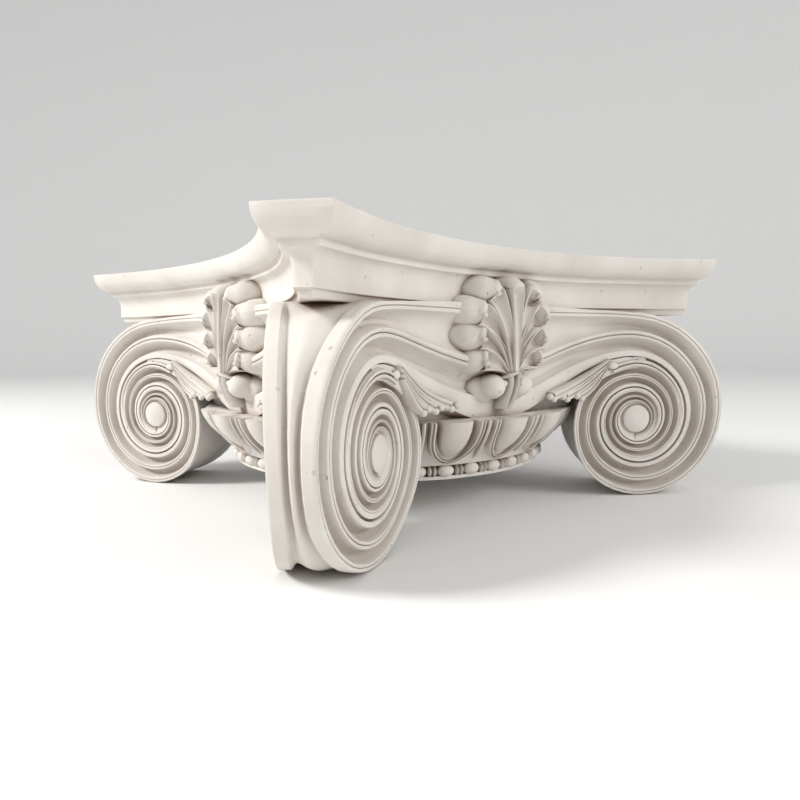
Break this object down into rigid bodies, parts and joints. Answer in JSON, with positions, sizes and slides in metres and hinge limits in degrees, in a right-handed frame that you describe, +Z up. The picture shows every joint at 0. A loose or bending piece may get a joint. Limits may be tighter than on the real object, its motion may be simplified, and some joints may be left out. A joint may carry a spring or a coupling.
{
  "type": "ionic capital",
  "caption": "Angular ionic capital with diagonal corner volutes, hollow-sided moulded abacus, leaf on each face and egg-and-dart echinus, set on a round column shaft.",
  "frame": {"origin": "centre of the plan, level with the undersides of the corner volutes", "axes": "+Z up, out of the top of the abacus; the faces look along +X, +Y, -X and -Y and the volutes point along the diagonals"},
  "size_m": [0.4406, 0.4406, 0.2],
  "materials": {
    "plaster": "matt"
  },
  "bodies": {
    "root": {"ionic_capital": "plaster"}
  },
  "joints": []
}
